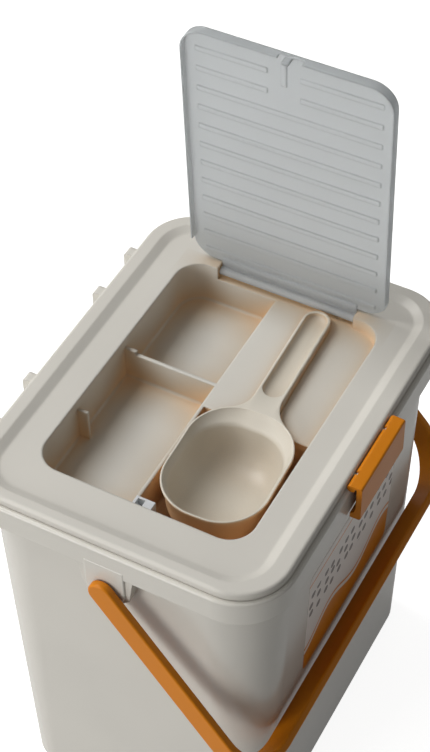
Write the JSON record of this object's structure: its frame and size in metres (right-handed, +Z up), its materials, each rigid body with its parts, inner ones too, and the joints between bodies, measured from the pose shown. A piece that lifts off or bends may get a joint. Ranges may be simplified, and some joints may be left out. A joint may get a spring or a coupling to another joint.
{
  "type": "pet food storage bin",
  "caption": "Tall drafted food storage bin with a hinged lid holding a compartment tray and scoop, a frosted tray cover, a front clip and a bail handle.",
  "frame": {"origin": "middle of the flat underside of the base", "axes": "+Z up; front with the clip, label and hanging handle towards -Y; lid hinge towards +Y; tray cover's hinge towards +X"},
  "size_m": [0.332, 0.2513, 0.5601],
  "materials": {
    "tub_white": "soft gloss",
    "lid_white": "satin",
    "scoop_white": "satin",
    "catch_white": "satin",
    "seal": "matte",
    "pin_steel": "drawn rod",
    "frosted": "frosted, see-through",
    "orange": "satin",
    "label": "printed film"
  },
  "bodies": {
    "bin": {"bin_body": "tub_white", "front_label": "label"},
    "lid": {"lid": "lid_white", "lid_gasket": "seal", "lid_hinge_pin_left": "pin_steel", "lid_hinge_pin_right": "pin_steel", "cover_catch": "catch_white"},
    "cover": {"tray_cover": "frosted"},
    "latch": {"front_latch": "orange"},
    "handle": {"handle": "orange"},
    "scoop": {"scoop": "scoop_white"}
  },
  "joints": [
    {"name": "lid_hinge", "type": "hinge", "parent": "bin", "child": "lid", "pos_m": [0, 0.1186, 0.3305], "axis": [-1, 0, 0], "range_deg": [0, 100]},
    {"name": "cover_hinge", "type": "hinge", "parent": "lid", "child": "cover", "pos_m": [0.112, 0, 0.3398], "axis": [0, -1, 0], "range_deg": [0, 87.7]},
    {"name": "latch_hinge", "type": "hinge", "parent": "lid", "child": "latch", "pos_m": [0, -0.12, 0.3447], "axis": [-1, 0, 0], "range_deg": [-3, 72]},
    {"name": "handle_pivot", "type": "hinge", "parent": "bin", "child": "handle", "pos_m": [0, 0, 0.3044], "axis": [-1, 0, 0], "range_deg": [0, 112]},
    {"name": "scoop_lift", "type": "slide", "parent": "lid", "child": "scoop", "axis": [0, 0, 1], "range_m": [0, 0.07]}
  ]
}
